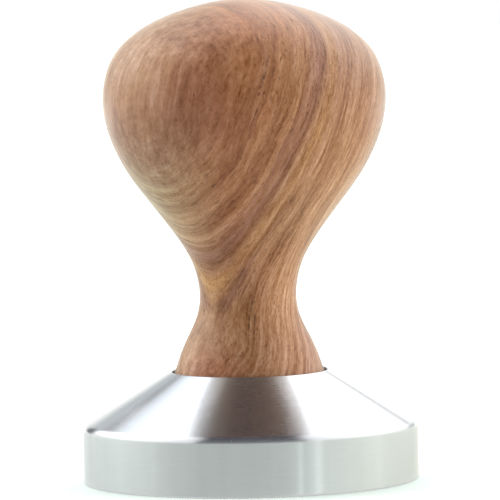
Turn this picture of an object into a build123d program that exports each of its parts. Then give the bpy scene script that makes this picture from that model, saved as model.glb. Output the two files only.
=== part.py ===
"""Espresso tamper for 58 mm baskets: a turned hardwood knob on a one-piece stainless base.

The base is one turned piece: a straight rim that slides inside a coffee basket, a rounded
shoulder, a conical top and a shallow socket for the foot of the handle. A set screw is
locked into the base. The handle carries a screwed-in brass insert and turns onto the set
screw, down onto a friction washer that stays captive above the insert's flange.

Frame: millimetres, +Z up the handle, origin at the centre of the flat tamping face.
"""

import os

from build123d import *

os.makedirs("parts", exist_ok=True)

# ---------------------------------------------------------------- base
BASE_R = 58 / 2          # rim radius
RIM_TOP = 9.95           # height where the rim's wall would meet the cone
RIM_EDGE = 0.40          # rounding of the tamping edge
SHOULDER_R = 1.6         # rounding between the rim and the cone
LIP_R = 13.90            # outer radius of the cone's top lip
LIP_Z = 18.95            # height of the lip
LIP_EDGE = 0.20          # rounding of the lip's outer edge
LIP_CHAMFER = 0.12       # chamfer of the lip's inner edge
SOCKET_R = 13.50         # radius of the socket that takes the handle's foot
SOCKET_FLOOR = 17.00     # height of the socket's floor
SOCKET_CORNER = 0.30     # tool radius left in the socket's corner
WELL_R = 7.90            # counterbore that clears the insert's flange
WELL_FLOOR = 15.60
WELL_CHAMFER = 0.25
TAP_BOTTOM = 5.20        # bottom of the drilled hole's straight wall
DRILL_SLOPE = 0.6        # depth of the drill point over its radius
TAP_OVERRUN = 4.0        # how far the hole's cutter rises above the well's floor
TAP_MOUTH = 0.55         # chamfer at the mouth, beyond the bottom of the groove
MOUTH_OVERRUN = 0.5      # how far the mouth's cutting cone rises above the well's floor

# ---------------------------------------------------------------- joining thread, M8 x 1.25
PITCH = 1.25
THREAD_Z = 7.40          # height of one crest at angle zero, shared by every mating thread
HALF_TURN = PITCH / 2    # rise in half a turn; the helices are started half a turn round
CREST_R = 3.94           # set screw's crest
ROOT_R = 3.23            # set screw's root
RIDGE_INNER_R = 3.12     # inner edge of the ridge's section, inside the screw's core
CREST_HALF = 0.115       # half the width of the set screw's crest
FLANK = 0.57735          # tangent of the 30 degree flank angle
FLANK_GAP = 0.070        # axial clearance on each flank of a tapped thread
TAP_ROOT_R = 4.02        # bottom of the tapped groove
TAP_CREST_R = 3.33       # bore of a tapped hole
TAP_INNER_R = 3.24       # inner edge of the groove's section, inside the bore
LENGTH_TURNS = 2         # turns in one length of thread; lengths are laid end to end
LENGTH_RISE = LENGTH_TURNS * PITCH
BASE_LENGTHS = 4
SCREW_LENGTHS = 10
INSERT_LENGTHS = 7

# ---------------------------------------------------------------- set screw
SCREW_BOTTOM = 7.30
SCREW_TOP = 28.25
SCREW_OVERRUN = 2.5      # extra core at each end, before the ends are trimmed
SCREW_CHAMFER = 0.80
ENVELOPE_R = CREST_R + 0.2   # trimming envelope, clear of the crests
SCREW_HEX = 4.00         # hexagon socket, across flats
SCREW_HEX_DEPTH = 4.50
HEX_POINT_R = SCREW_HEX / 2 * 0.98   # drilled point below the hexagon
HEX_POINT_DEPTH = 1.1

# ---------------------------------------------------------------- threaded insert in the handle
INSERT_TOP = 30.60
INSERT_TOP_CHAMFER = 0.40
INSERT_R = 6.00          # crest of the coarse wood thread, and the plain shank below it
INSERT_ROOT_R = 5.25
FLANGE_R = 7.40
FLANGE_TOP = 16.94
FLANGE_BOTTOM = 15.75
FLANGE_CHAMFER = 0.25
SHANK_RISE = 0.25        # top of the plain shank, above the foot's underside
SHANK_CONE_RISE = 1.00   # top of the cone from the shank to the thread's root
BORE_MOUTH_R = TAP_ROOT_R + 0.35     # widest radius of the chamfer at each end of the bore
SLOT_WIDTH = 1.60        # driver slot across the flange
SLOT_DEPTH = 0.80
SLOT_OVERRUN = 1.0       # how far the slot's cutter passes the flange at each end
CUT_OVERRUN = 1.0        # how far a bore's cutter passes an open end

# ---------------------------------------------------------------- wood thread
WOOD_PITCH = 2.50
WOOD_HALF_TURN = WOOD_PITCH / 2
WOOD_THREAD_Z = 19.55    # first crest of the wood thread at angle zero
WOOD_CREST_HALF = 0.16   # half the width of the crest
WOOD_INNER_R = 5.10      # inner edge of the thread's section, inside the root
WOOD_ROOT_HALF = WOOD_CREST_HALF + (INSERT_R - WOOD_INNER_R) * FLANK
WOOD_GAP = 0.04          # glue line between the insert and the wood
WOOD_FLANK_GAP = WOOD_GAP * 1.16     # the glue line measured along the axis
GROOVE_TRIM = 0.02       # taken off each side of the groove's bottom
RIDGE_LENGTHS = 2
RIDGE_TURNS = 1.7        # turns in one length of the insert's ridge
GROOVE_LENGTHS = 3
GROOVE_TURNS = 1.6       # turns in one length of the handle's groove

# ---------------------------------------------------------------- handle
FOOT_Z = 18.00           # underside of the handle's foot
FOOT_R = 12.62           # flat part of the foot
FOOT_EDGE_R = 13.02      # widest radius of the foot, inside the socket
FOOT_EDGE_Z = 18.42
FOOT_EDGE_TANGENT = (-0.20, 1)       # direction of the outline at the widest radius
SHANK_BORE_R = INSERT_R + WOOD_GAP
CORE_BORE_R = INSERT_ROOT_R + WOOD_GAP
SHANK_BORE_CHAMFER = 0.35
SHANK_BORE_RISE = 0.60   # top of the wide mouth, above the foot's underside
BORE_CONE_RISE = 1.30    # top of the cone from the mouth to the core
BORE_TOP = 31.20         # end of the drilled core's straight wall
BORE_POINT = 2.2         # depth of the drill point
HANDLE_TOP = 83.20
# Turned outline from the foot to near the crown: (radius, height)
OUTLINE = [
    (12.86, 19.00), (11.57, 22.70), (10.32, 25.40), (8.99, 28.30), (8.39, 31.40),
    (8.61, 34.60), (9.59, 38.00), (11.34, 41.20), (13.95, 44.90), (17.02, 48.90),
    (20.05, 53.10), (22.37, 57.40), (23.90, 61.80), (24.42, 66.00), (23.92, 70.00),
    (22.34, 73.80), (19.34, 77.00), (14.90, 79.70), (9.12, 81.82),
]

# ---------------------------------------------------------------- friction washer
WASHER_IN_R = 6.25
WASHER_OUT_R = 12.30
WASHER_PLAY = 0.02       # gap to the socket's floor and to the foot
WASHER_BOTTOM = SOCKET_FLOOR + WASHER_PLAY
WASHER_TOP = FOOT_Z - WASHER_PLAY
WASHER_EDGE = 0.18       # rounding of all four edges


# ---------------------------------------------------------------- shared shapes
def turned(*points):
    """Solid turned about Z from a closed outline of (radius, height) points."""
    with BuildPart() as solid:
        with BuildSketch(Plane.XZ):
            with BuildLine():
                Polyline(*points, close=True)
            make_face()
        revolve(axis=Axis.Z)
    return solid.part


def thread_length(start_z, pitch, turns, helix_r, inner, outer):
    """One length of ridge or groove, starting at angle zero.

    Its section lies in a plane through the axis; inner and outer are its two parallel
    sides, each given as (radius, half width).
    """
    inner_r, inner_half = inner
    outer_r, outer_half = outer
    with BuildPart() as length:
        with BuildLine() as path:
            Helix(pitch=pitch, height=pitch * turns, radius=helix_r, center=(0, 0, start_z))
        with BuildSketch(Plane.XZ):
            with BuildLine():
                Polyline(
                    (inner_r, start_z - inner_half),
                    (outer_r, start_z - outer_half),
                    (outer_r, start_z + outer_half),
                    (inner_r, start_z + inner_half),
                    close=True,
                )
            make_face()
        sweep(path=path.line, is_frenet=True)
    return length.part


def screw_half_width(radius):
    """Half the width of the set screw's ridge at a radius."""
    return CREST_HALF + (CREST_R - radius) * FLANK


def tapped_groove(start_z):
    """One length of the M8 groove, for the base and the insert."""
    return thread_length(
        start_z, PITCH, LENGTH_TURNS, TAP_CREST_R,
        inner=(TAP_INNER_R, screw_half_width(TAP_INNER_R) + FLANK_GAP),
        outer=(TAP_ROOT_R, screw_half_width(TAP_ROOT_R) + FLANK_GAP),
    )


def circles_at(builder, radius, height):
    """Circular edges of a given radius and height."""
    return [
        e for e in builder.edges().filter_by(GeomType.CIRCLE)
        if abs(e.radius - radius) < 0.01 and abs(e.center().Z - height) < 0.01
    ]


# ---------------------------------------------------------------- pieces
def make_base_blank():
    """The base before drilling."""
    with BuildPart() as blank:
        with BuildSketch(Plane.XZ) as section:
            with BuildLine():
                Polyline(
                    (0, 0),
                    (BASE_R, 0),
                    (BASE_R, RIM_TOP),
                    (LIP_R, LIP_Z),
                    (SOCKET_R, LIP_Z),
                    (SOCKET_R, SOCKET_FLOOR),
                    (WELL_R, SOCKET_FLOOR),
                    (WELL_R, WELL_FLOOR),
                    (0, WELL_FLOOR),
                    close=True,
                )
            make_face()
            corners = section.vertices()
            fillet(corners.sort_by_distance((BASE_R, 0, 0))[0], radius=RIM_EDGE)
        revolve(axis=Axis.Z)
        fillet(circles_at(blank, BASE_R, RIM_TOP), radius=SHOULDER_R)
        fillet(circles_at(blank, LIP_R, LIP_Z), radius=LIP_EDGE)
        chamfer(circles_at(blank, SOCKET_R, LIP_Z), length=LIP_CHAMFER)
        fillet(circles_at(blank, SOCKET_R, SOCKET_FLOOR), radius=SOCKET_CORNER)
        chamfer(circles_at(blank, WELL_R, SOCKET_FLOOR), length=WELL_CHAMFER)
    return blank.part


def make_tapped_hole():
    """The drilled hole with its drill point, and the grooves that the tap adds to it."""
    groove = tapped_groove(THREAD_Z - HALF_TURN)
    with BuildPart() as hole:
        add(turned(
            (0, TAP_BOTTOM - TAP_CREST_R * DRILL_SLOPE),
            (TAP_CREST_R, TAP_BOTTOM),
            (TAP_CREST_R, WELL_FLOOR + TAP_OVERRUN),
            (0, WELL_FLOOR + TAP_OVERRUN),
        ))
        for k in range(BASE_LENGTHS):
            with Locations((0, 0, LENGTH_RISE * k)):
                add(groove, rotation=(0, 0, 180))
    return hole.part


def make_tamper_base():
    mouth_r = TAP_ROOT_R + TAP_MOUTH
    with BuildPart() as base:
        add(make_base_blank())
        add(make_tapped_hole(), mode=Mode.SUBTRACT)
        # 45 degree chamfer at the mouth
        add(turned(
            (0, WELL_FLOOR - mouth_r),
            (mouth_r + MOUTH_OVERRUN, WELL_FLOOR + MOUTH_OVERRUN),
            (0, WELL_FLOOR + MOUTH_OVERRUN),
        ), mode=Mode.SUBTRACT)
    return base.part


def make_set_screw():
    # the ridge overruns both ends and is trimmed with the core
    ridge = thread_length(
        THREAD_Z - PITCH - HALF_TURN, PITCH, LENGTH_TURNS, ROOT_R,
        inner=(RIDGE_INNER_R, screw_half_width(RIDGE_INNER_R)),
        outer=(CREST_R, CREST_HALF),
    )
    hex_floor = SCREW_TOP - SCREW_HEX_DEPTH
    with BuildPart() as screw:
        with BuildSketch(Plane.XY.offset(SCREW_BOTTOM - SCREW_OVERRUN)):
            Circle(ROOT_R)
        extrude(amount=SCREW_TOP - SCREW_BOTTOM + 2 * SCREW_OVERRUN)
        for k in range(SCREW_LENGTHS):
            with Locations((0, 0, LENGTH_RISE * k)):
                add(ridge, rotation=(0, 0, 180))
        # envelope with chamfered ends
        add(turned(
            (0, SCREW_BOTTOM),
            (ENVELOPE_R - SCREW_CHAMFER, SCREW_BOTTOM),
            (ENVELOPE_R, SCREW_BOTTOM + SCREW_CHAMFER),
            (ENVELOPE_R, SCREW_TOP - SCREW_CHAMFER),
            (ENVELOPE_R - SCREW_CHAMFER, SCREW_TOP),
            (0, SCREW_TOP),
        ), mode=Mode.INTERSECT)
        # hexagon socket for the key, with a drilled point below it
        with BuildSketch(Plane.XY.offset(SCREW_TOP)):
            RegularPolygon(radius=SCREW_HEX / 2, side_count=6, major_radius=False)
        extrude(amount=-SCREW_HEX_DEPTH, mode=Mode.SUBTRACT)
        add(turned(
            (0, hex_floor - HEX_POINT_DEPTH),
            (HEX_POINT_R, hex_floor),
            (0, hex_floor),
        ), mode=Mode.SUBTRACT)
    return screw.part


def make_handle_insert():
    # the groove starts below the flange, a whole number of turns above the base's
    groove = tapped_groove(THREAD_Z + 5 * PITCH + HALF_TURN)
    ridge = thread_length(
        WOOD_THREAD_Z + WOOD_HALF_TURN, WOOD_PITCH, RIDGE_TURNS, INSERT_ROOT_R,
        inner=(WOOD_INNER_R, WOOD_ROOT_HALF),
        outer=(INSERT_R, WOOD_CREST_HALF),
    )
    lead = BORE_MOUTH_R - TAP_CREST_R
    with BuildPart() as insert:
        add(turned(
            (0, FLANGE_BOTTOM),
            (FLANGE_R - FLANGE_CHAMFER, FLANGE_BOTTOM),
            (FLANGE_R, FLANGE_BOTTOM + FLANGE_CHAMFER),
            (FLANGE_R, FLANGE_TOP),
            (INSERT_R, FLANGE_TOP),
            (INSERT_R, FOOT_Z + SHANK_RISE),
            (INSERT_ROOT_R, FOOT_Z + SHANK_CONE_RISE),
            (INSERT_ROOT_R, INSERT_TOP - INSERT_TOP_CHAMFER),
            (INSERT_ROOT_R - INSERT_TOP_CHAMFER, INSERT_TOP),
            (0, INSERT_TOP),
        ))
        for k in range(RIDGE_LENGTHS):
            with Locations((0, 0, RIDGE_TURNS * WOOD_PITCH * k)):
                add(ridge, rotation=(0, 0, 180 + 360 * RIDGE_TURNS * k))
        # bore with a chamfer at both ends
        add(turned(
            (0, FLANGE_BOTTOM - CUT_OVERRUN),
            (BORE_MOUTH_R, FLANGE_BOTTOM - CUT_OVERRUN),
            (BORE_MOUTH_R, FLANGE_BOTTOM),
            (TAP_CREST_R, FLANGE_BOTTOM + lead),
            (TAP_CREST_R, INSERT_TOP - lead),
            (BORE_MOUTH_R, INSERT_TOP),
            (BORE_MOUTH_R, INSERT_TOP + CUT_OVERRUN),
            (0, INSERT_TOP + CUT_OVERRUN),
        ), mode=Mode.SUBTRACT)
        for k in range(INSERT_LENGTHS):
            with Locations((0, 0, LENGTH_RISE * k)):
                add(groove, rotation=(0, 0, 180), mode=Mode.SUBTRACT)
        # driver slot across the flange
        with BuildSketch(Plane.XY.offset(FLANGE_BOTTOM)):
            Rectangle(2 * (FLANGE_R + SLOT_OVERRUN), SLOT_WIDTH)
        extrude(amount=SLOT_DEPTH, mode=Mode.SUBTRACT)
    return insert.part


def make_friction_washer():
    with BuildPart() as washer:
        with BuildSketch(Plane.XY.offset(WASHER_BOTTOM)):
            Circle(WASHER_OUT_R)
            Circle(WASHER_IN_R, mode=Mode.SUBTRACT)
        extrude(amount=WASHER_TOP - WASHER_BOTTOM)
        fillet(washer.edges().filter_by(GeomType.CIRCLE), radius=WASHER_EDGE)
    return washer.part


def make_handle():
    # the groove starts one pitch below the insert's ridge
    groove = thread_length(
        WOOD_THREAD_Z - WOOD_HALF_TURN, WOOD_PITCH, GROOVE_TURNS, INSERT_ROOT_R,
        inner=(WOOD_INNER_R, WOOD_ROOT_HALF + WOOD_FLANK_GAP),
        outer=(SHANK_BORE_R, WOOD_CREST_HALF + WOOD_FLANK_GAP - GROOVE_TRIM),
    )
    with BuildPart() as handle:
        with BuildSketch(Plane.XZ):
            with BuildLine():
                Line((0, FOOT_Z), (FOOT_R, FOOT_Z))
                Spline(
                    (FOOT_R, FOOT_Z),
                    (FOOT_EDGE_R, FOOT_EDGE_Z),
                    tangents=((1, 0), FOOT_EDGE_TANGENT),
                )
                Spline(
                    (FOOT_EDGE_R, FOOT_EDGE_Z),
                    *OUTLINE,
                    (0, HANDLE_TOP),
                    tangents=(FOOT_EDGE_TANGENT, (-1, 0)),
                )
                Line((0, HANDLE_TOP), (0, FOOT_Z))
            make_face()
        revolve(axis=Axis.Z)
        # stepped bore: a clear mouth for the insert's shank, then the drilled core
        add(turned(
            (0, FOOT_Z - CUT_OVERRUN),
            (SHANK_BORE_R + SHANK_BORE_CHAMFER, FOOT_Z - CUT_OVERRUN),
            (SHANK_BORE_R + SHANK_BORE_CHAMFER, FOOT_Z),
            (SHANK_BORE_R, FOOT_Z + SHANK_BORE_CHAMFER),
            (SHANK_BORE_R, FOOT_Z + SHANK_BORE_RISE),
            (CORE_BORE_R, FOOT_Z + BORE_CONE_RISE),
            (CORE_BORE_R, BORE_TOP),
            (0, BORE_TOP + BORE_POINT),
        ), mode=Mode.SUBTRACT)
        for k in range(GROOVE_LENGTHS):
            with Locations((0, 0, GROOVE_TURNS * WOOD_PITCH * k)):
                add(
                    groove,
                    rotation=(0, 0, 180 + 360 * GROOVE_TURNS * k),
                    mode=Mode.SUBTRACT,
                )
    return handle.part


PIECES = {
    "tamper_base": make_tamper_base,
    "set_screw": make_set_screw,
    "handle_insert": make_handle_insert,
    "friction_washer": make_friction_washer,
    "handle": make_handle,
}
for name, make_piece in PIECES.items():
    piece = make_piece()
    piece.label = name
    export_step(piece, f"parts/{name}.step")
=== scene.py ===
"""Espresso tamper: a turned wooden handle on a turned steel base, built round its CAD frame.

It stands upright on the floor with its axis on Z. Metres, +Z up, camera side is -Y, right is +X.
Turned profiles, and lengths inside the materials, are in millimetres.
"""
import math

import bpy
import numpy as np
from mathutils import Matrix, Vector


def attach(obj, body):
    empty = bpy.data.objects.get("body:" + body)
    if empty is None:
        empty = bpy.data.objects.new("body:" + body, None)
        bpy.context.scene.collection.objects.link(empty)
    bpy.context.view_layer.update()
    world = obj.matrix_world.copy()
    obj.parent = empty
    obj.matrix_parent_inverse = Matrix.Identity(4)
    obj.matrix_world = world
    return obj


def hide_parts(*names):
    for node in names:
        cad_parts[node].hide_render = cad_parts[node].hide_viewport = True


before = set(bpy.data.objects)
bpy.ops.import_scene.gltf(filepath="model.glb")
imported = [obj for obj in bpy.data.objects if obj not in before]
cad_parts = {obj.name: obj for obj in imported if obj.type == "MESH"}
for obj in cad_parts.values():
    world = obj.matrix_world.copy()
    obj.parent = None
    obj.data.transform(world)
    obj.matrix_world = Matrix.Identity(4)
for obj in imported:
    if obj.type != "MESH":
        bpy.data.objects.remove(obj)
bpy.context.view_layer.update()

MM = 0.001
DEGREES = 180 / math.pi


# ------------------------------------------------------------------ profiles and turning
def spline(points, start_dir, end_dir, samples):
    """Cubic spline through the points, chord-length parameter, with given end directions."""
    pts = np.array(points, float)
    knots = np.r_[0, np.cumsum(np.hypot(*np.diff(pts, axis=0).T))]
    step = np.diff(knots)
    padded = np.r_[0, step, 0]
    matrix = np.diag(2 * (padded[:-1] + padded[1:])) + np.diag(step, 1) + np.diag(step, -1)
    start = np.array(start_dir) / math.hypot(*start_dir)
    end = np.array(end_dir) / math.hypot(*end_dir)
    slopes = np.vstack([start, np.diff(pts, axis=0) / step[:, None], end])
    bend = np.linalg.solve(matrix, 6 * np.diff(slopes, axis=0))
    along = np.linspace(0, knots[-1], samples)
    k = np.clip(np.searchsorted(knots, along, side="right") - 1, 0, len(pts) - 2)
    span = step[k, None]
    ahead = (knots[k + 1] - along)[:, None]
    behind = (along - knots[k])[:, None]
    curve = (
        bend[k] * ahead ** 3 / (6 * span)
        + bend[k + 1] * behind ** 3 / (6 * span)
        + (pts[k] / span - bend[k] * span / 6) * ahead
        + (pts[k + 1] / span - bend[k + 1] * span / 6) * behind
    )
    return list(map(tuple, curve))


def fillet(before, corner, after, radius, count):
    """Points of a fillet that rounds the corner between its two neighbours."""
    before, corner, after = (np.array(p, float) for p in (before, corner, after))
    back = (before - corner) / np.linalg.norm(before - corner)
    on = (after - corner) / np.linalg.norm(after - corner)
    half = math.acos(max(-1, min(1, float(back @ on)))) / 2
    centre = corner + (back + on) / np.linalg.norm(back + on) * (radius / math.sin(half))
    tangent = radius / math.tan(half)
    first = corner + back * tangent - centre
    last = corner + on * tangent - centre
    angle = math.atan2(first[1], first[0])
    turn = (math.atan2(last[1], last[0]) - angle + math.pi) % (2 * math.pi) - math.pi
    return [
        (centre[0] + radius * math.cos(angle + turn * k / (count - 1)),
         centre[1] + radius * math.sin(angle + turn * k / (count - 1)))
        for k in range(count)
    ]


def line(start, end, count):
    """Evenly spaced points from start towards end, without the end itself."""
    return [
        (start[0] + (end[0] - start[0]) * k / count, start[1] + (end[1] - start[1]) * k / count)
        for k in range(count)
    ]


def lathe(name, profile, segments, shape=None, sharp_angle=32):
    """Closed turned solid. The (radius, z) profile runs from the axis to the axis, in mm.
    shape(radius, z, angle) may change the radius, for helical threads."""
    angles = [2 * math.pi * k / segments for k in range(segments)]
    verts, faces, rings = [], [], []
    for radius, z in profile:
        first = len(verts)
        if radius < 1e-6:
            verts.append((0, 0, z * MM))
        else:
            for a in angles:
                r = shape(radius, z, a) if shape else radius
                verts.append((r * math.cos(a) * MM, r * math.sin(a) * MM, z * MM))
        rings.append(range(first, len(verts)))
    for low, high in zip(rings, rings[1:]):
        for k in range(segments):
            j = (k + 1) % segments
            if len(low) == 1:
                faces.append((low[0], high[j], high[k]))
            elif len(high) == 1:
                faces.append((low[k], low[j], high[0]))
            else:
                faces.append((low[k], low[j], high[j], high[k]))
    mesh = bpy.data.meshes.new(name)
    mesh.from_pydata(verts, [], faces)
    mesh.validate()
    mesh.update()
    for polygon in mesh.polygons:
        polygon.use_smooth = True
    mesh.set_sharp_from_angle(angle=math.radians(sharp_angle))
    return link_object(name, mesh)


def link_object(name, data):
    ob = bpy.data.objects.new(name, data)
    bpy.context.scene.collection.objects.link(ob)
    return ob


# ------------------------------------------------------------------ node building
class Nodes:
    """Short calls that build a node tree. Any value may be a constant or another node's output."""

    def __init__(self, tree):
        self.tree = tree
        tree.nodes.clear()

    def feed(self, socket, value):
        if isinstance(value, bpy.types.NodeSocket):
            self.tree.links.new(value, socket)
        elif socket.type == "RGBA" and len(value) == 3:
            socket.default_value = (*value, 1)
        else:
            socket.default_value = value

    def add(self, kind, inputs=(), **settings):
        """New node; inputs is a list in socket order, or a dict by socket name or index."""
        node = self.tree.nodes.new("ShaderNode" + kind)
        for name, value in settings.items():
            setattr(node, name, value)
        for key, value in inputs.items() if isinstance(inputs, dict) else enumerate(inputs):
            self.feed(node.inputs[key], value)
        return node

    def math(self, operation, *values):
        return self.add("Math", values, operation=operation).outputs[0]

    def times(self, result, *factors):
        for factor in factors:
            result = self.math("MULTIPLY", result, factor)
        return result

    def plus(self, result, *terms):
        for term in terms:
            result = self.math("ADD", result, term)
        return result

    def minus(self, a, b):
        return self.math("SUBTRACT", a, b)

    def swing(self, value, amount):
        """Noise centred on nought, scaled."""
        return self.times(self.minus(value, 0.5), amount)

    def remap(self, value, over, to=(0.0, 1.0), smooth=False):
        kind = "SMOOTHSTEP" if smooth else "LINEAR"
        node = self.add("MapRange", (value, *over, *to), clamp=True, interpolation_type=kind)
        return node.outputs[0]

    def rise(self, value, over):
        """Smooth step from 0 to 1."""
        return self.remap(value, over, smooth=True)

    def fall(self, value, over):
        """Smooth step from 1 to 0."""
        return self.remap(value, over, to=(1.0, 0.0), smooth=True)

    def combine(self, x, y, z=0.0):
        return self.add("CombineXYZ", (x, y, z)).outputs[0]

    def separate(self, vector):
        return self.add("SeparateXYZ", [vector]).outputs

    def scaled(self, vector, by):
        """Vector times one number, or times a tuple axis by axis."""
        if isinstance(by, tuple):
            return self.add("VectorMath", (vector, by), operation="MULTIPLY").outputs["Vector"]
        node = self.add("VectorMath", {0: vector, "Scale": by}, operation="SCALE")
        return node.outputs["Vector"]

    def distance(self, x, y):
        """Distance from the Z axis."""
        flat = self.combine(x, y)
        return self.add("VectorMath", [flat], operation="LENGTH").outputs["Value"]

    def object_point(self):
        return self.add("TexCoord").outputs["Object"]

    def object_mm(self):
        return self.scaled(self.object_point(), 1000.0)

    def noise(self, vector, stretch=None, scale=1.0, detail=2.0, rough=0.5):
        if stretch is not None:
            vector = self.scaled(vector, stretch)
        inputs = {"Vector": vector, "Scale": scale, "Detail": detail, "Roughness": rough}
        return self.add("TexNoise", inputs, noise_dimensions="3D").outputs["Fac"]

    def noise_1d(self, along, scale, detail, rough):
        inputs = {"W": along, "Scale": scale, "Detail": detail, "Roughness": rough}
        return self.add("TexNoise", inputs, noise_dimensions="1D").outputs["Fac"]

    def ramp(self, value, stops):
        """Colour ramp; stops are (position 0 to 1, colour)."""
        node = self.add("ValToRGB", [value])
        elements = node.color_ramp.elements
        while len(elements) > 1:
            elements.remove(elements[-1])
        elements[0].position = stops[0][0]
        elements[0].color = (*stops[0][1], 1)
        for position, colour in stops[1:]:
            elements.new(position).color = (*colour, 1)
        return node.outputs["Color"]

    def greys(self, value, stops, span=1.0):
        """Grey ramp; stops are (position 0 to span, level)."""
        return self.ramp(value, [(at / span, (level,) * 3) for at, level in stops])

    def mix(self, factor, a, b, mode="MIX"):
        inputs = {0: factor, 6: a, 7: b}
        return self.add("Mix", inputs, data_type="RGBA", blend_type=mode).outputs[2]

    def tint(self, a, b):
        return self.mix(1.0, a, b, "MULTIPLY")

    def bump(self, height, strength, distance):
        inputs = {"Strength": strength, "Distance": distance, "Height": height}
        return self.add("Bump", inputs).outputs[0]

    def mix_shader(self, factor, a, b):
        return self.add("MixShader", (factor, a, b)).outputs[0]


def srgb(r, g, b):
    """Linear colour of an sRGB colour given as 0 to 255."""
    return tuple(
        c / 255 / 12.92 if c / 255 <= 0.04045 else ((c / 255 + 0.055) / 1.055) ** 2.4
        for c in (r, g, b)
    )


def blank_material(name, nodes_class=Nodes):
    mat = bpy.data.materials.new(name)
    mat.use_nodes = True
    return mat, nodes_class(mat.node_tree)


def finish_material(nodes, inputs):
    """Principled surface with the given inputs."""
    surface = nodes.add("BsdfPrincipled", inputs)
    nodes.add("OutputMaterial", {"Surface": surface.outputs[0]})


# ------------------------------------------------------------------ handle, turned in wood
FOOT_Z, FOOT_R, FOOT_EDGE, TOP = 18.0, 12.62, (13.02, 18.42), 83.2
FOOT_LEAN = (-0.20, 1)                      # direction in which the outline leaves the foot's edge
OUTLINE = [                                 # radius, z: foot, waist, knob, crown
    (12.86, 19.00), (11.57, 22.70), (10.32, 25.40), (8.99, 28.30), (8.39, 31.40),
    (8.61, 34.60), (9.59, 38.00), (11.34, 41.20), (13.95, 44.90), (17.02, 48.90),
    (20.05, 53.10), (22.37, 57.40), (23.90, 61.80), (24.42, 66.00), (23.92, 70.00),
    (22.34, 73.80), (19.34, 77.00), (14.90, 79.70), (9.12, 81.82),
]
BORE_R, BORE_TOP, BORE_TIP = 5.29, 31.2, 2.2            # tip: rise of the bore's conical end
MOUTH_R, MOUTH_DEPTH, MOUTH_CHAMFER = 6.04, 0.6, 0.35   # wider mouth of the bore
MOUTH_TAPER_END = 1.3                                   # above the foot, where BORE_R begins


def handle_profile():
    bore_foot = (BORE_R, FOOT_Z + MOUTH_TAPER_END)
    chamfer_edge = (MOUTH_R + MOUTH_CHAMFER, FOOT_Z)
    profile = [(0.0, BORE_TOP + BORE_TIP)]
    profile += line((BORE_R / 2, BORE_TOP + BORE_TIP / 2), (BORE_R, BORE_TOP), 2)
    profile += line((BORE_R, BORE_TOP), bore_foot, 12)
    profile += [bore_foot, (MOUTH_R, FOOT_Z + MOUTH_DEPTH), (MOUTH_R, FOOT_Z + MOUTH_CHAMFER)]
    profile += line(chamfer_edge, (FOOT_R, FOOT_Z), 8)
    profile += spline([(FOOT_R, FOOT_Z), FOOT_EDGE], (1, 0), FOOT_LEAN, 7)
    profile += spline([FOOT_EDGE, *OUTLINE, (0.0, TOP)], FOOT_LEAN, (-1, 0), 300)[1:-1]
    return profile + [(0.0, TOP)]


def layer_at(points):
    """Distance in mm across the growth layers of the block the handle was turned from.
    The layers stand upright, face the left front and curve."""
    x, y, z = points[:, 0] / 25, points[:, 1] / 25, (points[:, 2] - 50) / 30
    return (
        -13.36 * x - 15.39 * y + 2.98 * z
        - 0.85 * x * x - 6.09 * y * y + 0.76 * z * z
        - 1.7 * x * y + 1.03 * x * z + 1.5 * y * z
        + 3.03 * z ** 3 + 2.04 * x * z * z + 1.54 * y * z * z
        - 2.1 * x * x * z + 0.06 * y * y * z - 1.38 * x * y * z
        + 1.27 * x ** 3 - 1.42 * y ** 3 + 0.66 * x * x * y + 2.13 * x * y * y
    )


def cut_at(points, normals):
    """How steeply the surface cuts the layers: near 0 where it runs flat to them."""
    reach = 0.1
    gradient = np.stack(
        [(layer_at(points + e) - layer_at(points - e)) / (2 * reach) for e in np.eye(3) * reach],
        axis=1,
    )
    gradient -= (gradient * normals).sum(1)[:, None] * normals
    return np.linalg.norm(gradient, axis=1)


# Broad colour of the block, on its front half: x and z in mm, a size in mm, and a gain (as an
# exponent) on red, green and blue.
ZONES = [
    (-1, 63, 7.0, (-0.05, -0.30, -0.42)),      # red heart in the middle of the knob
    (-7, 68, 5.0, (-0.20, -0.34, -0.34)),      # darker wood, upper left of the heart
    (-18, 60, 6.0, (-0.20, -0.26, -0.18)),     # darker left flank
    (1, 81, 5.5, (-0.05, -0.28, -0.50)),       # dark crown
    (-18, 75, 6.0, (0.22, 0.40, 0.58)),        # paler wood, upper left
    (-20, 47, 6.5, (0.12, 0.64, 0.74)),        # khaki flank, lower left
    (-13, 37, 4.5, (0.20, 0.40, 0.40)),        # khaki left of the neck
    (-15, 22, 6.5, (0.52, 0.90, 1.10)),        # pale wood left of the waist and foot
    (-3, 49, 5.0, (-0.10, -0.28, -0.36)),      # red-brown under the knob's middle
    (-4, 38, 4.0, (-0.16, -0.34, -0.40)),      # dark streaks above the waist
    (16, 60, 7.0, (0.15, 0.13, 0.10)),         # paler right flank
    (18, 74, 6.0, (0.00, 0.04, 0.16)),         # greyer right shoulder of the knob
    (23, 62, 4.0, (-0.10, -0.18, -0.28)),      # warmer right edge
    (20, 42, 9.0, (0.55, 0.65, 0.62)),         # paler wood right of the neck
    (5, 33, 6.0, (0.24, 0.22, 0.22)),          # lighter neck
    (-7, 18, 4.0, (-0.05, -0.34, -0.34)),      # redder foot, left
    (10, 19, 5.0, (0.18, 0.20, 0.32)),         # lighter foot, right
]
ZONE_BACK_Y, ZONE_FADE = 6.0, 14.0             # zones end at this y and fade in over this depth


def zone_at(points):
    x, y, z = points.T
    front = np.clip((ZONE_BACK_Y - y) / ZONE_FADE, 0, 1)
    front = front * front * (3 - 2 * front)
    tone = np.zeros((len(points), 3))
    for zone_x, zone_z, size, gain in ZONES:
        weight = np.exp(-((x - zone_x) ** 2 + (z - zone_z) ** 2) / (2 * size * size))
        tone += weight[:, None] * np.array(gain)
    return np.exp(tone * front[:, None])


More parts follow.
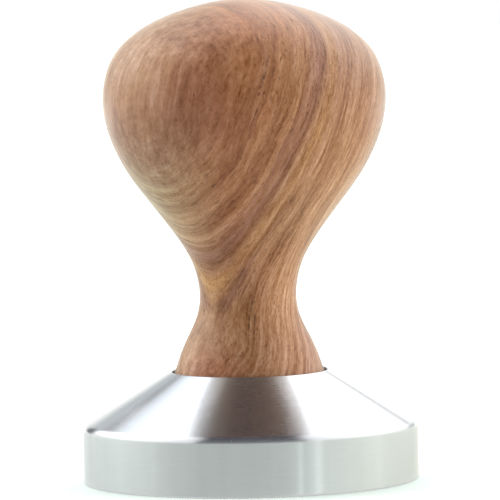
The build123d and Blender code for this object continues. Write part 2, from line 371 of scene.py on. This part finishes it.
def vertex_vectors(mesh, field):
    values = np.zeros(len(mesh.vertices) * 3)
    mesh.vertices.foreach_get(field, values)
    return values.reshape(-1, 3)


def store(mesh, name, kind, field, values):
    attribute = mesh.attributes.new(name, kind, "POINT")
    attribute.data.foreach_set(field, values.astype(np.float32).ravel())


handle = lathe("turned_handle", handle_profile(), 288)
points = vertex_vectors(handle.data, "co") / MM
normals = vertex_vectors(handle.data, "normal")
store(handle.data, "cut", "FLOAT", "value", cut_at(points, normals))
store(handle.data, "layer", "FLOAT", "value", layer_at(points))
store(handle.data, "zone", "FLOAT_VECTOR", "vector", zone_at(points))

# ------------------------------------------------------------------ wood
WOOD_ALBEDO = (0.335, 0.165, 0.082)            # oiled rosewood, linear
GOLD, PLUM, PIT = srgb(200, 150, 98), srgb(112, 68, 58), srgb(58, 28, 18)
MIRROR_SHADE_AMOUNT = 0.55                             # how far painted shade greys the wood where metal mirrors it
# grey of the painted shade on the wood as the metal mirrors it
MIRROR_SHADE_GREY = (0.060, 0.050, 0.048)
# Broad bands: mm across the layers, gain on red, green and blue.
BANDS = [
    (-22.0, (0.97, 0.95, 0.93)), (-18.0, (0.92, 0.89, 0.89)), (-14.0, (1.05, 1.04, 1.00)),
    (-11.0, (0.97, 0.94, 0.92)), (-8.0, (0.93, 0.89, 0.88)), (-4.0, (1.07, 1.06, 1.02)),
    (-1.0, (1.05, 1.03, 1.00)), (1.0, (0.94, 0.90, 0.86)), (1.75, (0.88, 0.83, 0.78)),
    (3.25, (0.98, 0.95, 0.91)), (3.75, (0.90, 0.86, 0.86)), (4.9, (1.19, 1.22, 1.08)),
    (5.75, (0.93, 0.90, 0.87)), (6.5, (0.75, 0.68, 0.77)), (7.25, (0.94, 0.90, 0.93)),
    (8.25, (1.10, 1.09, 1.04)), (9.25, (0.92, 0.87, 0.82)), (10.0, (1.10, 1.08, 1.00)),
    (11.25, (0.93, 0.89, 0.85)), (12.25, (1.07, 1.06, 0.99)), (13.5, (0.93, 0.90, 0.87)),
    (14.8, (1.00, 0.97, 0.95)), (17.0, (0.98, 0.95, 0.92)),
]
# Mineral streaks: layer, half width, z from and to, gain on red, green and blue.
STREAKS = [
    (3.85, 0.50, 28.5, 39.5, (0.68, 0.60, 0.66)),
    (4.85, 0.55, 31.5, 38.5, (1.20, 1.26, 1.02)),
    (2.1, 0.35, 40.0, 56.0, (0.86, 0.80, 0.80)),
]
# Long pores that opened into fine checks: layer, half width, z from and to.
CHECKS = [
    (11.0, 0.12, 66.2, 74.6), (10.8, 0.08, 61.0, 66.0), (1.95, 0.14, 26.0, 32.6),
    (1.45, 0.10, 24.5, 30.5), (-1.2, 0.08, 66.0, 71.0),
]


class WoodNodes(Nodes):
    """Node calls for the wood, with the fields that its parts share."""

    def __init__(self, tree):
        super().__init__(tree)
        self.layer = self.add("Attribute", attribute_name="layer").outputs["Fac"]
        self.zone = self.add("Attribute", attribute_name="zone").outputs["Vector"]
        self.cut = self.add("Attribute", attribute_name="cut").outputs["Fac"]
        self.mm = self.object_mm()
        self.x, self.y, self.z = self.separate(self.mm)
        # slow wander of the layers, so that no band keeps one width
        broad = self.noise(self.mm, stretch=(0.11, 0.11, 0.06))
        small = self.noise(self.mm, stretch=(0.45, 0.45, 0.16), rough=0.55)
        self.wander = self.plus(self.layer, self.swing(broad, 0.9), self.swing(small, 0.34))
        # growth lines, wide and middling
        self.wide = self.grain((0.028, 0.018, 0.030), scale=1.25, detail=3.0, rough=0.66)
        self.middle = self.grain(
            (0.065, 0.04, 0.060), offset=40.0, scale=2.9, detail=3.0, rough=0.68)

    def grain(self, drift, offset=0.0, **settings):
        """Noise that changes across the layers, and slowly (drift on x, y, z) along them."""
        across = self.plus(self.times(self.wander, 1.0), offset)
        sideways = self.plus(self.times(self.x, drift[0]), self.times(self.y, drift[1]))
        return self.noise(self.combine(across, sideways, self.times(self.z, drift[2])), **settings)

    def patch(self, on_layer, half, low, high, core, ease, y_fade):
        """1 near one layer over part of the height, on the front only."""
        off = self.math("ABSOLUTE", self.minus(self.layer, on_layer))
        near = self.fall(off, over=(half * core, half))
        tall = self.times(self.rise(self.z, over=(low, low + ease)),
                          self.fall(self.z, over=(high - ease, high)))
        return self.times(near, self.times(tall, self.remap(self.y, y_fade, to=(1.0, 0.0))))

    def bands(self):
        """Broad bands that come and go along their length, in the colour of the zones."""
        first, last = BANDS[0][0], BANDS[-1][0]
        stops = [((at - first) / (last - first), gain) for at, gain in BANDS]
        base = self.ramp(self.remap(self.wander, over=(first, last)), stops)
        fade = self.remap(self.noise(self.mm, stretch=(0.10, 0.10, 0.07)),
                          over=(0.30, 0.62), to=(0.75, 1.20))
        base = self.mix(fade, (1.0, 0.97, 0.94), base)
        return self.tint(self.tint(base, WOOD_ALBEDO), self.zone)

    def lines(self):
        """Gain of the growth lines: thin across the layers, long along them."""
        fine = self.grain((0.14, 0.09, 0.13), offset=80.0, scale=6.5, rough=0.62)
        # where the cut runs flat to the layers, fibres and short vessels show, leaning a little
        lean = self.minus(self.x, self.times(self.z, 0.18))
        fibre = self.noise(
            self.combine(self.times(lean, 0.62), self.times(self.y, 0.62),
                         self.times(self.z, 0.055)),
            detail=4.0, rough=0.66)
        vessel = self.noise(
            self.combine(self.times(self.x, 2.9), self.times(self.y, 2.9),
                         self.plus(self.times(self.z, 1.2), self.wander)),
            detail=3.0, rough=0.7)

        def by_cut(noise, amount, over, to):
            return self.times(self.swing(noise, amount), self.remap(self.cut, over, to))

        total = self.plus(
            by_cut(self.wide, amount=1.75, over=(0.20, 0.50), to=(0.22, 1.0)),
            by_cut(self.middle, amount=1.30, over=(0.14, 0.45), to=(0.40, 1.0)),
            by_cut(fine, amount=0.90, over=(0.10, 0.30), to=(0.50, 1.0)),
            self.plus(self.swing(vessel, 0.56),
                      by_cut(fibre, amount=1.70, over=(0.16, 0.42), to=(1.0, 0.15))),
        )
        gain = self.math("MINIMUM", self.math("MAXIMUM", self.plus(1.0, total), 0.38), 1.9)
        # dark lines are redder, light ones paler
        return self.combine(gain, self.math("POWER", gain, 1.48), self.math("POWER", gain, 2.15))

    def layer_tint(self, base, colour, amount, offset, scale, start):
        """Colour that follows single layers for a way."""
        noise = self.grain((0.03, 0.02, 0.028), offset=offset, scale=scale, rough=0.55)
        factor = self.remap(noise, over=(start, 0.78), to=(0.0, amount), smooth=True)
        return self.mix(factor, base, self.tint(self.zone, colour))

    def streaks(self, base):
        for *place, gain in STREAKS:
            near = self.patch(*place, core=0.25, ease=3.0, y_fade=(-4.0, -1.0))
            broken = self.remap(self.middle, over=(0.25, 0.65), to=(1.0, 0.45))
            base = self.mix(self.times(near, broken), base, self.tint(base, gain))
        return base

    def pits(self):
        """Pores, short dark dashes along the grain, crowded in places; and the checks."""
        crowd = self.remap(self.noise(self.mm, stretch=(0.13, 0.13, 0.09)),
                           over=(0.32, 0.62), to=(0.35, 1.0))
        long_pore = self.rise(
            self.grain((0.13, 0.09, 0.12), offset=23.0, scale=6.0, detail=1.0), over=(0.64, 0.76))
        long_pore = self.times(
            long_pore, self.remap(self.cut, over=(0.16, 0.34), to=(0.15, 1.0)))
        short_pore = self.rise(
            self.noise(self.mm, stretch=(3.4, 3.4, 1.1), detail=1.0), over=(0.64, 0.76))
        pits = self.times(self.math("MAXIMUM", long_pore, self.times(short_pore, 0.95)), crowd)
        dash = self.noise(
            self.combine(self.times(self.layer, 3.0), 0.0, self.times(self.z, 0.9)), rough=0.6)
        dash = self.remap(dash, over=(0.40, 0.56), to=(0.10, 0.95), smooth=True)
        for check in CHECKS:
            near = self.patch(*check, core=0.4, ease=1.2, y_fade=(-6.0, -4.0))
            pits = self.math("MAXIMUM", pits, self.times(near, dash))
        return pits


def wood_material():
    mat, nodes = blank_material("wood_oiled", WoodNodes)
    base = nodes.tint(nodes.bands(), nodes.lines())
    base = nodes.layer_tint(base, GOLD, amount=0.24, offset=11.0, scale=1.3, start=0.56)
    base = nodes.layer_tint(base, PLUM, amount=0.38, offset=57.0, scale=1.2, start=0.57)
    base = nodes.streaks(base)
    pits = nodes.pits()
    base = nodes.mix(nodes.times(pits, 0.66), base, PIT)
    # painted shade: where polished metal mirrors the handle, the wood is greyed and darkened to stand
    # in for its shaded underside
    seen_in_metal = nodes.add("LightPath").outputs["Is Glossy Ray"]
    base = nodes.mix(nodes.times(seen_in_metal, MIRROR_SHADE_AMOUNT), base, MIRROR_SHADE_GREY)
    rough = nodes.remap(nodes.middle, over=(0.3, 0.7), to=(0.36, 0.48))
    relief = nodes.plus(nodes.times(nodes.middle, 0.30), nodes.times(nodes.wide, 0.25))
    relief = nodes.minus(relief, nodes.times(pits, 1.0))
    finish_material(nodes, {
        "Base Color": base,
        "Roughness": nodes.plus(rough, nodes.times(pits, 0.2)),
        "Specular IOR Level": 0.30,
        "Sheen Weight": 0.55,
        "Sheen Roughness": 0.30,
        "Sheen Tint": (1.0, 0.97, 0.86),
        "Normal": nodes.bump(relief, strength=0.40, distance=0.00005),
    })
    return mat


handle.data.materials.append(wood_material())
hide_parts("handle")
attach(handle, "grip")

# ------------------------------------------------------------------ base, turned in steel
BASE_R, RIM_TOP = 29.0, 9.95                    # straight rim, up to where the cone would begin
LIP_R, LIP_Z = 13.90, 18.95                     # top of the cone
EDGE_ROUND, SHOULDER_ROUND, LIP_ROUND, SOCKET_ROUND = 0.4, 1.6, 0.2, 0.3
SOCKET_R, SOCKET_Z, SOCKET_BREAK = 13.5, 17.0, 0.12     # break: eased inner edge of the lip
WELL_R, WELL_Z, WELL_CHAMFER, WELL_BEVEL = 7.9, 15.6, 0.25, 0.05
TAP_R, GROOVE_R, PITCH, CREST_Z = 3.33, 4.02, 1.25, 7.4
TAP_TOP, TAP_END, TAP_STEP, DRILL_TIP_Z = 15.0, 5.2, 0.07, 3.2
COUNTERSINK = 0.55
THREAD_START, THREAD_FADE = 6.1, 0.6            # lowest groove, and the height it deepens over
GROOVE_HALF, FLANK_SLOPE = 0.139, 0.57735       # flat half width of the groove, tan 30 degrees


def tapped(radius, z, angle):
    """Radius of the tapped wall at this height and angle; other walls stay as they are."""
    if radius != TAP_R or z < THREAD_START:
        return radius
    off = (z - CREST_Z - PITCH * angle / (2 * math.pi) + PITCH / 2) % PITCH - PITCH / 2
    groove = GROOVE_R - max(0.0, abs(off) - GROOVE_HALF) / FLANK_SLOPE
    fade = min(1.0, (z - THREAD_START) / THREAD_FADE)
    return TAP_R + max(0.0, groove - TAP_R) * fade


def base_profile():
    rim, lip = (BASE_R, RIM_TOP), (LIP_R, LIP_Z)
    shoulder = fillet((BASE_R, 0), rim, lip, SHOULDER_ROUND, 21)
    lip_round = fillet(rim, lip, (SOCKET_R, LIP_Z), LIP_ROUND, 6)
    socket_top = (SOCKET_R, LIP_Z - SOCKET_BREAK)
    socket_corner = fillet(
        (SOCKET_R, LIP_Z), (SOCKET_R, SOCKET_Z), (WELL_R, SOCKET_Z), SOCKET_ROUND, 6)
    well_edge = (WELL_R + WELL_CHAMFER, SOCKET_Z)
    well_foot = (WELL_R - WELL_BEVEL, WELL_Z)
    sink_edge = (GROOVE_R + COUNTERSINK, WELL_Z)
    # underside and rim
    profile = [(0.0, 0.0)]
    profile += line((2.0, 0.0), (BASE_R - EDGE_ROUND, 0.0), 14)
    profile += fillet((0, 0), (BASE_R, 0), rim, EDGE_ROUND, 9)
    profile += line((BASE_R, EDGE_ROUND), shoulder[0], 10)[1:]
    # shoulder, cone and lip
    profile += shoulder
    profile += line(shoulder[-1], lip_round[0], 26)[1:]
    profile += lip_round
    # socket
    profile += [(SOCKET_R + SOCKET_BREAK, LIP_Z),
                (SOCKET_R + SOCKET_BREAK / 4, LIP_Z - SOCKET_BREAK / 4), socket_top]
    profile += line(socket_top, socket_corner[0], 4)[1:]
    profile += socket_corner
    profile += line(socket_corner[-1], well_edge, 6)[1:]
    # well
    profile += [well_edge, (WELL_R, SOCKET_Z - WELL_CHAMFER), (WELL_R, WELL_Z + WELL_BEVEL)]
    profile += line(well_foot, sink_edge, 4)
    # tapped hole
    profile += [sink_edge, (GROOVE_R, WELL_Z - COUNTERSINK)]
    profile += [(TAP_R, z) for z in np.arange(TAP_TOP, TAP_END, -TAP_STEP)]
    return profile + [(TAP_R, TAP_END), (0.0, DRILL_TIP_Z)]


# ------------------------------------------------------------------ stainless steel
FACE_ROUGH, WALL_ROUGH = 0.26, 0.17             # turned faces, straight rim
# the rim's greener tint is painted reflection: the upright wall is tinted towards the mint floor it
# mirrors
FACE_TINT, WALL_PAINTED_REFLECTION_TINT = (0.610, 0.615, 0.635), (0.583, 0.617, 0.605)


def steel_material():
    mat, nodes = blank_material("stainless_turned")
    times, plus, minus, swing = nodes.times, nodes.plus, nodes.minus, nodes.swing
    mm = nodes.object_mm()
    x, y, z = nodes.separate(mm)
    angle = nodes.math("ARCTAN2", y, x)
    normal_z = nodes.separate(nodes.add("NewGeometry").outputs["Normal"])[2]
    wall = nodes.fall(nodes.math("ABSOLUTE", normal_z), over=(0.05, 0.35))   # 1 on the rim
    # tool marks: rings on every turned face, thin and shallow, with a few deeper ones
    along = minus(nodes.distance(x, y), times(z, 1.7))
    ring = nodes.noise_1d(along, scale=5.5, detail=4.0, rough=0.75)
    fine_ring = nodes.noise_1d(along, scale=24.0, detail=2.0, rough=0.6)
    # fine scratches run round the piece: long along the angle, short across it
    scratch = nodes.noise(
        nodes.combine(times(angle, 2.6), times(along, 9.0)), detail=3.0, rough=0.65)
    marks = plus(times(ring, 0.6), times(fine_ring, 0.35), times(scratch, 0.35))
    darkest = nodes.remap(wall, over=(0.0, 1.0), to=(0.95, 0.965))
    shade = nodes.remap(marks, over=(0.45, 0.90), to=(darkest, 1.0))
    # faint brushing drawn out round the rim, and faint upright streaks of painted reflection round it
    brush = nodes.noise(nodes.combine(times(angle, 9.0), times(z, 2.2)), detail=4.0, rough=0.6)
    upright_painted_streaks = nodes.noise_1d(angle, scale=13.0, detail=3.0, rough=0.6)
    for noise, amount in ((brush, 0.08), (upright_painted_streaks, 0.05)):
        shade = times(shade, plus(1.0, times(swing(noise, amount), wall)))
    # painted reflection: upright faces take the greener tint of the mirrored floor, turned faces the
    # plain steel tint
    tint = nodes.mix(wall, FACE_TINT, WALL_PAINTED_REFLECTION_TINT)
    # a few tiny nicks that catch the light
    nicks = nodes.rise(nodes.noise(mm, stretch=1.35, detail=0.0), over=(0.835, 0.86))
    nicks = times(nicks, minus(1.0, wall))
    slow = nodes.noise(mm, stretch=0.08, detail=3.0)
    face_rough, wall_rough = (
        nodes.remap(slow, over=(0.35, 0.65), to=(rough - 0.01, rough + 0.02))
        for rough in (FACE_ROUGH, WALL_ROUGH)
    )
    rough = plus(times(wall_rough, wall), times(face_rough, minus(1.0, wall)))
    tangent = nodes.add("Tangent", direction_type="RADIAL", axis="Z")
    finish_material(nodes, {
        "Base Color": nodes.tint(tint, nodes.combine(shade, shade, shade)),
        "Metallic": 1.0,
        "Roughness": plus(rough, times(nicks, 0.30), swing(scratch, 0.05)),
        # turned metal blurs across its rings and stays sharp along them
        "Anisotropic": 1.0,
        "Anisotropic Rotation": 0.25,
        "Tangent": tangent.outputs[0],
        "Normal": nodes.bump(marks, strength=0.12, distance=0.00002),
    })
    return mat


base = lathe("turned_base", base_profile(), 384, shape=tapped)
base.data.materials.append(steel_material())
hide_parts("tamper_base")
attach(base, "base")


# ------------------------------------------------------------------ hidden pieces, CAD shape
def screw_material():
    mat, nodes = blank_material("screw_steel")
    mm = nodes.object_mm()
    x, y, _ = nodes.separate(mm)
    root_shade_fade = nodes.remap(nodes.distance(x, y), over=(3.3, 3.9))       # 0 at the thread's root, where painted shade darkens the colour
    mottle = nodes.noise(mm, stretch=1.6, detail=4.0, rough=0.6)
    finish_material(nodes, {
        # painted shade: the thread roots are coloured darker than the crests
        "Base Color": nodes.mix(root_shade_fade, srgb(92, 92, 94), srgb(176, 176, 178)),
        "Metallic": 1.0,
        "Roughness": nodes.remap(mottle, over=(0.3, 0.7), to=(0.24, 0.42)),
        "Normal": nodes.bump(mottle, strength=0.25, distance=0.00003),
    })
    return mat


def brass_material():
    mat, nodes = blank_material("brass_machined")
    mm = nodes.object_mm()
    x, y, z = nodes.separate(mm)
    along = nodes.plus(nodes.distance(x, y), z)
    rings = nodes.noise_1d(along, scale=9.0, detail=2.0, rough=0.6)
    tarnish = nodes.noise(mm, stretch=0.5, detail=4.0, rough=0.6)
    tarnish = nodes.remap(tarnish, over=(0.4, 0.7), to=(0.0, 0.7))
    finish_material(nodes, {
        "Base Color": nodes.mix(tarnish, srgb(214, 178, 98), srgb(170, 128, 62)),
        "Metallic": 1.0,
        "Roughness": nodes.remap(rings, over=(0.3, 0.7), to=(0.22, 0.36)),
        "Normal": nodes.bump(rings, strength=0.25, distance=0.00003),
    })
    return mat


def rubber_material():
    mat, nodes = blank_material("rubber_black")
    grain = nodes.noise(nodes.object_mm(), stretch=3.0, detail=4.0, rough=0.65)
    finish_material(nodes, {
        "Base Color": nodes.mix(grain, srgb(30, 30, 32), srgb(52, 52, 54)),
        "Roughness": nodes.remap(grain, over=(0.3, 0.7), to=(0.55, 0.75)),
        "Normal": nodes.bump(grain, strength=0.4, distance=0.00005),
    })
    return mat


for piece, make_material in (
    ("set_screw", screw_material),
    ("handle_insert", brass_material),
    ("friction_washer", rubber_material),
):
    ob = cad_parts[piece]
    ob.data.materials.clear()
    ob.data.materials.append(make_material())
    weld = ob.modifiers.new("weld", "WELD")           # closes any sliver of zero width
    weld.merge_threshold = 1e-6

# ------------------------------------------------------------------ the room, as light and mirror
# Azimuths are in degrees from the front, +90 to the right; elevations in degrees up.
STEEL = 0.62                                    # reflectance of the steel
SOFT = [(0, 0.15), (40, 0.24), (75, 0.75), (110, 1.2), (180, 1.4)]     # azimuth, radiance
SOFT_TOP = 0.8                                  # radiance overhead
ROOM = [                                        # azimuth, level seen in the rim
    (-180, 0.58), (-150, 0.66), (-119, 0.655), (-104, 0.69), (-86, 0.64), (-70, 0.585),
    (-55, 0.50), (-42, 0.485), (0, 0.515), (20, 0.545), (31.0, 0.60), (32.6, 0.62),
    (33.7, 1.02), (35.0, 0.61), (43.5, 0.65), (46.0, 0.88), (48.1, 0.84), (50.5, 0.66),
    (75, 0.68), (98, 0.75), (112, 0.70), (150, 0.66), (180, 0.58),
]
# Fraction of the way from front to back, level mirrored: far floor, and tent at the sides.
FAR_FLOOR = [(0.0, 0.6), (0.30, 0.9), (0.55, 2.0), (1.0, 2.6)]
TENT_SIDE = [(0.0, 0.9), (0.3, 1.5), (0.5, 2.4), (0.62, 3.0), (1.0, 3.0)]
# Elevation, level seen in the cone: behind on the left and on the right.
BEHIND_LEFT = [
    (0, 0.80), (6, 0.78), (12, 0.72), (16.5, 0.66), (21, 0.56), (25.5, 0.28), (28, 0.02),
    (32, 0.02), (34, 0.44), (37, 0.64), (40, 0.78), (43, 0.88), (47, 0.98), (51, 1.1),
    (55, 1.4), (60, 1.9),
]
BEHIND_RIGHT = [(0, 1.1), (10, 1.1), (15.5, 1.2), (17.3, 0.38), (19.5, 0.38), (21.6, 1.3), (28, 1.9)]
LEFT_TINT = [                                   # elevation, tint behind on the left
    (0, (0.99, 1.0, 0.965)), (14, (0.975, 1.0, 0.975)), (24, (0.90, 0.99, 1.04)),
    (30, (0.78, 0.98, 1.10)), (38, (0.82, 0.99, 1.13)), (52, (0.87, 0.985, 1.11)),
    (62, (1.0, 1.0, 1.0)),
]
STRIP_COLOUR = (0.115, 0.115, 0.135)
# Low dark corners behind: azimuths of rise and of fall, elevations of fall, colour.
CORNERS = [
    ((-160.0, -155.0), (-145.0, -139.0), (19.0, 24.0), (0.06, 0.07, 0.08)),
    ((138.0, 144.0), (155.0, 160.0), (9.0, 13.0), (0.55, 0.58, 0.57)),
]


def room(nodes, azimuth):
    """Colour of the room's low band by azimuth; the right of the room is warmer."""
    stops = []
    for at, level in ROOM:
        warm = min(1.0, max(0.0, (at - 45) / 60))
        red, blue = 0.965 + 0.03 * warm, 0.985 - 0.065 * warm
        colour = (level * red / STEEL, level / STEEL, level * blue / STEEL)
        stops.append(((at + 180) / 360.0, colour))
    return nodes.ramp(nodes.math("DIVIDE", nodes.plus(azimuth, 180.0), 360.0), stops)


def from_front(nodes, azimuth):
    """0 in front to 1 behind, on either side."""
    return nodes.math("DIVIDE", azimuth, 180.0)


# ------------------------------------------------------------------ floor
FLOOR_HALF, FLOOR_DROP = 3, 0.00005
FLOOR_VEIL = 0.45
VEIL_PAINTED_SHADOW, VEIL_OPEN = (0.17, 0.22, 0.195), (0.95, 1.0, 0.97)     # near the tamper, a painted shadow, and beyond


def floor_mirror(nodes, reach):
    """What polished metal mirrors of the floor, by compass direction of the ray."""
    incoming = nodes.separate(nodes.add("NewGeometry").outputs["Incoming"])
    azimuth = nodes.math("ARCTAN2", nodes.times(incoming[0], -1.0), incoming[1])
    azimuth = nodes.times(azimuth, DEGREES)
    # near the object the floor is as the rim shows it; farther out it is lit from behind
    away = nodes.rise(reach, over=(0.14, 0.40))
    far = nodes.greys(from_front(nodes, nodes.math("ABSOLUTE", azimuth)), FAR_FLOOR)
    return nodes.add("Emission", {"Color": nodes.mix(away, room(nodes, azimuth), far)}).outputs[0]


def floor_material():
    mat, nodes = blank_material("floor_pale")
    point = nodes.object_point()
    mottle = nodes.noise(point, scale=30.0, detail=3.0)
    colour = nodes.mix(mottle, srgb(226, 236, 231), srgb(232, 240, 236))
    pale = nodes.add("BsdfDiffuse", {"Color": colour}).outputs[0]
    # a thin veil of light lifts the open floor to white, dimmed close round the tamper as a painted
    # shadow; shadows stay soft
    x, y, _ = nodes.separate(point)
    reach = nodes.distance(x, y)
    clear_of_painted_shadow = nodes.rise(nodes.distance(nodes.plus(x, 0.006), y), over=(0.030, 0.075))
    veil = nodes.add("Emission", {
        "Color": nodes.mix(clear_of_painted_shadow, VEIL_PAINTED_SHADOW, VEIL_OPEN),
        "Strength": FLOOR_VEIL,
    })
    seen = nodes.add("AddShader", (pale, veil.outputs[0])).outputs[0]
    ray = nodes.add("LightPath").outputs
    surface = nodes.mix_shader(ray["Is Glossy Ray"], seen, floor_mirror(nodes, reach))
    surface = nodes.mix_shader(ray["Is Diffuse Ray"], surface, pale)
    nodes.add("OutputMaterial", {"Surface": surface})
    return mat


bpy.context.scene.view_settings.view_transform = "Standard"
bpy.context.scene.view_settings.look = "None"

floor_mesh = bpy.data.meshes.new("floor")
floor_corners = [(x * FLOOR_HALF, y * FLOOR_HALF, 0) for x, y in ((-1, -1), (1, -1), (1, 1), (-1, 1))]
floor_mesh.from_pydata(floor_corners, [], [(0, 1, 2, 3)])
floor = link_object("floor", floor_mesh)
floor.location = (0, 0, -FLOOR_DROP)
floor_mesh.materials.append(floor_material())


# ------------------------------------------------------------------ world
def tent_colour(nodes, azimuth, turn, elevation):
    """The bright tent above the low band, with its own levels behind left and right."""
    height = nodes.math("DIVIDE", elevation, 90.0)
    side = nodes.greys(from_front(nodes, turn), TENT_SIDE)
    left = nodes.greys(height, [(at, level / STEEL) for at, level in BEHIND_LEFT], span=90.0)
    left = nodes.tint(left, nodes.ramp(height, [(at / 90, tint) for at, tint in LEFT_TINT]))
    right = nodes.ramp(height, [
        (at / 90.0, (level * 0.985 / STEEL, level / STEEL, level / STEEL))
        for at, level in BEHIND_RIGHT
    ])
    tent = nodes.mix(nodes.fall(azimuth, over=(-148.0, -140.0)), side, left)
    return nodes.mix(nodes.rise(azimuth, over=(140.0, 148.0)), tent, right)


def dark_strip(nodes, x, y, z):
    """1 in a strip overhead in front, which the shoulder of the base mirrors."""
    bow = nodes.math("DIVIDE", nodes.times(z, z), 1.21)
    arch = nodes.math("DIVIDE", nodes.math("ABSOLUTE", x),
                      nodes.math("SQRT", nodes.minus(1.0, bow)))
    return nodes.times(nodes.fall(arch, over=(0.58, 0.69)), nodes.fall(y, over=(0.20, 0.36)),
                       nodes.rise(z, over=(0.14, 0.22)))


def build_world():
    world = bpy.data.worlds.new("studio")
    bpy.context.scene.world = world
    world.use_nodes = True
    nodes = Nodes(world.node_tree)
    generated = nodes.add("TexCoord").outputs["Generated"]
    direction = nodes.add("VectorMath", [generated], operation="NORMALIZE").outputs["Vector"]
    x, y, z = nodes.separate(direction)
    azimuth = nodes.times(nodes.math("ARCTAN2", x, nodes.times(y, -1.0)), DEGREES)
    elevation = nodes.times(nodes.math("ARCSINE", z), DEGREES)
    turn = nodes.math("ABSOLUTE", azimuth)
    # light on rough surfaces: dim room in front, bright tent at the sides and behind
    soft = nodes.greys(from_front(nodes, turn), SOFT, span=180.0)
    soft = nodes.mix(nodes.rise(elevation, over=(45.0, 80.0)), soft, (SOFT_TOP,) * 3)
    # what metal mirrors: low band as the floor's, then the tent, which reaches down behind
    behind = nodes.math("MAXIMUM", nodes.fall(azimuth, over=(-158.0, -150.0)),
                        nodes.rise(azimuth, over=(150.0, 158.0)))
    in_tent = nodes.math("MAXIMUM", nodes.rise(elevation, over=(7.0, 15.0)), behind)
    glossy = nodes.mix(in_tent, room(nodes, azimuth),
                       tent_colour(nodes, azimuth, turn, elevation))
    glossy = nodes.mix(dark_strip(nodes, x, y, z), glossy, STRIP_COLOUR)
    # the corners are seen in the shoulder near the base's outline
    for az_rise, az_fall, el_fall, colour in CORNERS:
        corner = nodes.times(nodes.rise(azimuth, az_rise), nodes.fall(azimuth, az_fall),
                             nodes.fall(elevation, el_fall))
        glossy = nodes.mix(corner, glossy, colour)
    ray = nodes.add("LightPath").outputs
    for_soft, for_glossy, for_camera = (
        nodes.add("Background", {"Color": colour}).outputs[0]
        for colour in (soft, glossy, (1, 1, 1))
    )
    surface = nodes.mix_shader(ray["Is Glossy Ray"], for_soft, for_glossy)
    surface = nodes.mix_shader(ray["Is Camera Ray"], surface, for_camera)
    nodes.add("OutputWorld", {"Surface": surface})


build_world()

# ------------------------------------------------------------------ lights
LIGHT_AIM = Vector((0, 0, 0.05))


def area(name, place, size, power, colour=(1, 1, 1)):
    """Rectangular light aimed at the tamper and hidden from mirrors."""
    light = bpy.data.lights.new(name, "AREA")
    light.shape = "RECTANGLE"
    light.size, light.size_y = size
    light.energy = power
    light.color = colour
    ob = link_object(name, light)
    ob.location = place
    ob.rotation_euler = (LIGHT_AIM - Vector(place)).to_track_quat("-Z", "Y").to_euler()
    ob.visible_glossy = False


area("key_right", place=(0.75, -0.30, 0.35), size=(0.5, 0.6), power=3.0, colour=(1.0, 0.98, 0.96))
area("side_left", place=(-0.75, 0.05, 0.35), size=(0.5, 0.6), power=3.2)
area("top_soft", place=(0.0, 0.15, 0.9), size=(0.8, 0.8), power=4.0)

# ------------------------------------------------------------------ camera
# Long lens, a little above the knob, leaning slightly.
CAMERA_PLACE, CAMERA_AIM = Vector((0.0, -0.900, 0.101)), Vector((0.0, 0.0, 0.0396))
CAMERA_ROLL = 1.12                              # degrees
SENSOR_WIDTH, LENS = 36.0, 375.768              # mm

camera_data = bpy.data.cameras.new("camera")
camera_data.sensor_width = SENSOR_WIDTH
camera_data.lens = LENS
camera_data.shift_x, camera_data.shift_y = 0.0056, 0.0022
camera_data.clip_start, camera_data.clip_end = 0.01, 20.0
camera = link_object("camera", camera_data)
camera.location = CAMERA_PLACE
facing = (CAMERA_AIM - CAMERA_PLACE).to_track_quat("-Z", "Y").to_matrix()
lean = Matrix.Rotation(math.radians(-CAMERA_ROLL), 3, "Z")
camera.rotation_euler = (facing @ lean).to_euler()
bpy.context.scene.camera = camera

bpy.context.view_layer.update()
